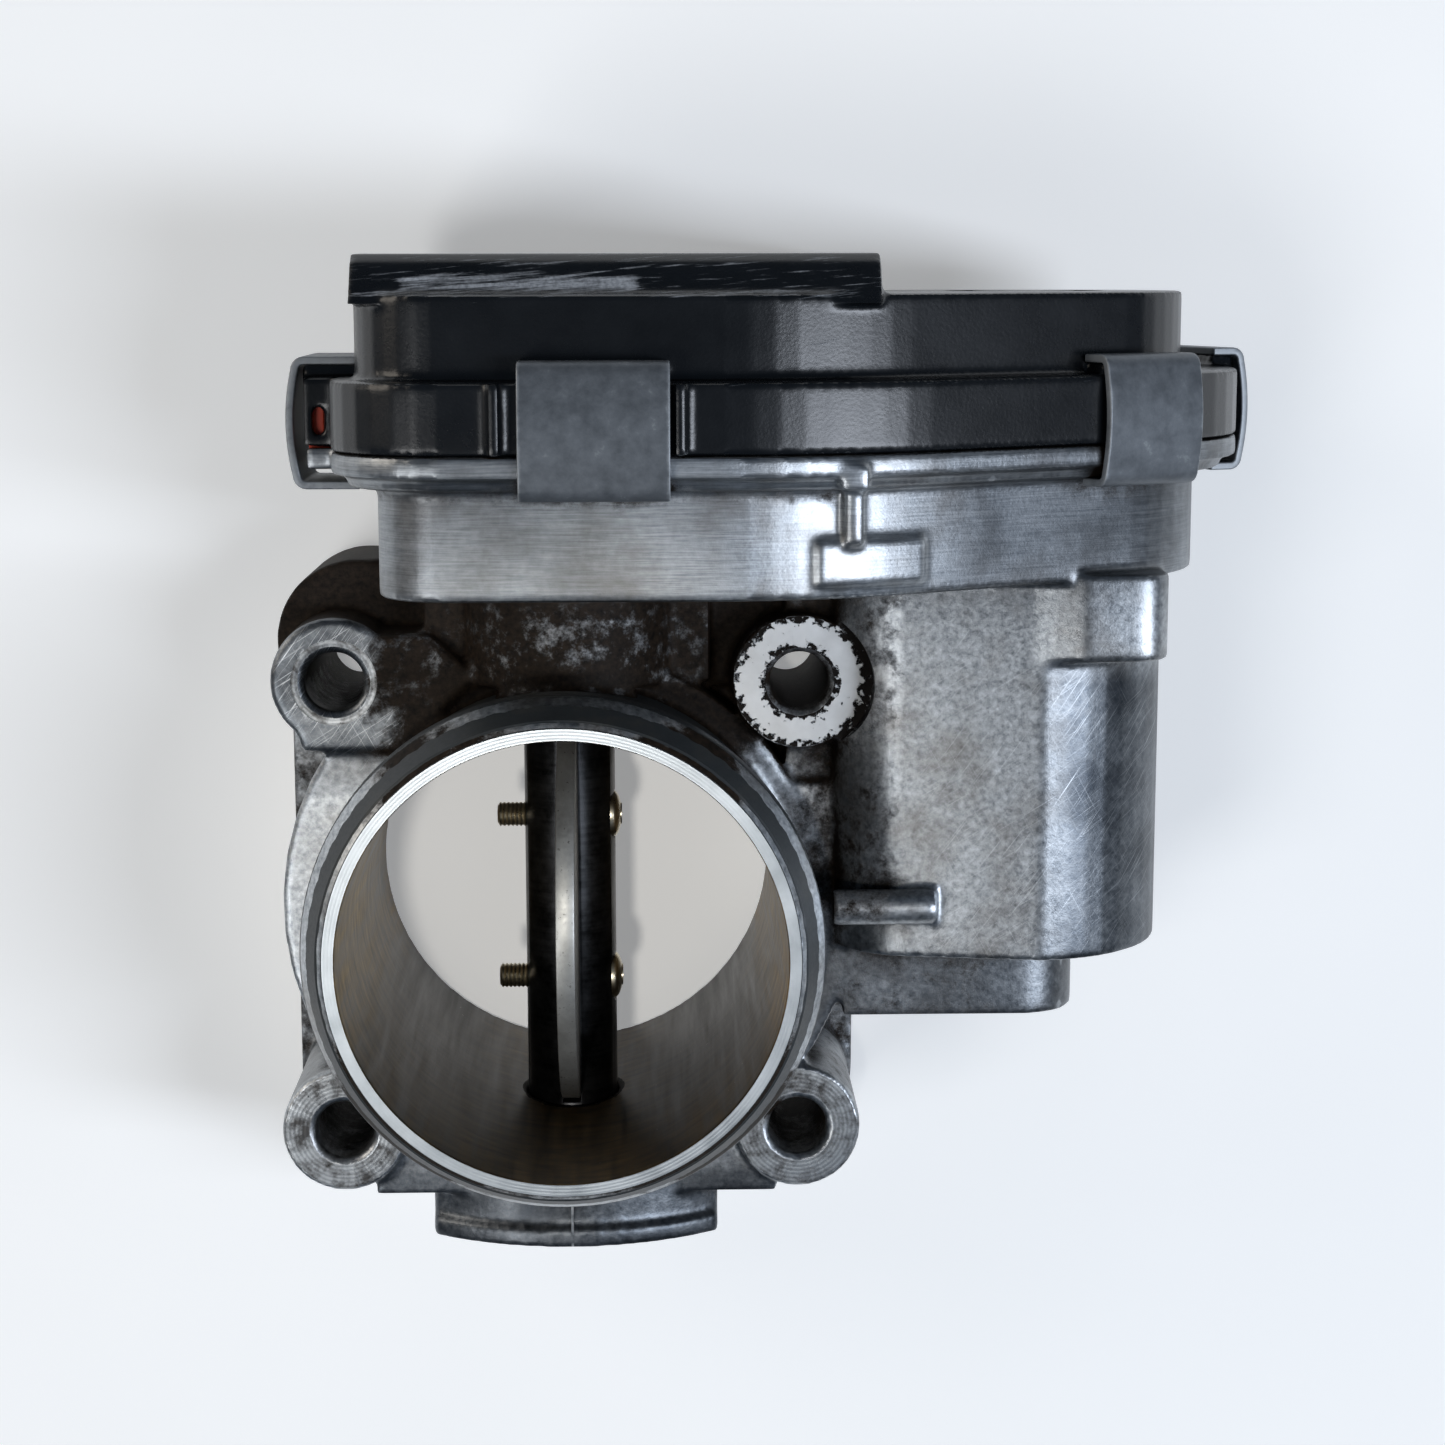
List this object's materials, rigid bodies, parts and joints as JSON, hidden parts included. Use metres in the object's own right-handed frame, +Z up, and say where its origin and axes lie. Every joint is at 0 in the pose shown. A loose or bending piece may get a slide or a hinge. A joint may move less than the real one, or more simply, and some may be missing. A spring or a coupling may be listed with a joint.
{
  "type": "electric throttle body",
  "caption": "Cast throttle body with an upright plate on a driven shaft, a clipped gearcase cover and a motor barrel beside the bore.",
  "frame": {"origin": "on the bore axis at the engine-side face", "axes": "+Z up the bore to the hose inlet, +Y along the throttle shaft to the gearcase, +X from the bore to the motor"},
  "size_m": [0.1189, 0.1194, 0.0677],
  "materials": {
    "cast_aluminium": "as-cast, oil-stained, with machined faces",
    "cover_plastic": "moulded, worn",
    "silicone": "matt",
    "clip_steel": "phosphated spring steel",
    "shaft_steel": "ground, oil-dark",
    "plate_aluminium": "stamped, oil-dark",
    "screw_steel": "zinc plated, bright",
    "seal_rubber": "matt",
    "bearing_steel": "ground",
    "plug_steel": "pressed, zinc plated",
    "gear_plastic": "moulded",
    "guide_plastic": "moulded",
    "magnet": "sintered",
    "bronze": "sintered",
    "copper_winding": "enamelled wire",
    "carbon": "matt",
    "contact_brass": "tinned brass",
    "board": "solder resist"
  },
  "bodies": {
    "root": {"housing": "cast_aluminium", "gearcase_cover": "cover_plastic", "cover_gasket": "silicone", "cover_clips": "clip_steel", "shaft_seals": "seal_rubber", "lower_needle_bearing": "bearing_steel", "upper_bearing_outer_ring": "bearing_steel", "upper_bearing_balls": "bearing_steel", "bearing_circlip": "clip_steel", "shaft_end_plug": "plug_steel", "return_spring": "clip_steel", "spring_guide": "guide_plastic", "intermediate_pin": "bearing_steel", "thrust_washers": "bronze", "motor_can": "plug_steel", "motor_magnets": "magnet", "motor_front_plate": "plug_steel", "motor_brushes": "carbon", "motor_bushes": "bronze", "motor_screws": "plug_steel", "motor_wave_washer": "clip_steel", "motor_terminals": "contact_brass", "cover_contacts": "contact_brass", "connector_pins": "contact_brass", "sensor_board": "board", "sensor_chip": "carbon"},
    "throttle": {"throttle_shaft": "shaft_steel", "throttle_plate": "plate_aluminium", "plate_screws": "screw_steel", "upper_bearing_inner_ring": "bearing_steel", "sector_gear": "gear_plastic", "sector_insert": "plug_steel", "sensor_magnet": "magnet"},
    "intermediate": {"intermediate_gear": "gear_plastic"},
    "rotor": {"motor_shaft": "bearing_steel", "motor_pinion": "bronze", "motor_armature": "copper_winding", "motor_commutator": "copper_winding"}
  },
  "joints": [
    {"name": "throttle_turn", "type": "hinge", "parent": "root", "child": "throttle", "pos_m": [0, 0, 0.0265], "axis": [0, 1, 0], "range_deg": [0, 85], "stiffness_Nm_per_rad": 0.03, "springref_deg": -28.65},
    {"name": "intermediate_turn", "type": "hinge", "parent": "root", "child": "intermediate", "pos_m": [0.0274, 0, 0.03436], "axis": [0, 1, 0], "range_deg": [-238, 0]},
    {"name": "motor_turn", "type": "hinge", "parent": "root", "child": "rotor", "pos_m": [0.0545, 0, 0.02587], "axis": [0, 1, 0], "range_deg": [0, 818.2]}
  ],
  "couplings": [
    {"joint": "intermediate_turn", "follows": "throttle_turn", "ratio": -2.8},
    {"joint": "motor_turn", "follows": "throttle_turn", "ratio": 9.625}
  ]
}
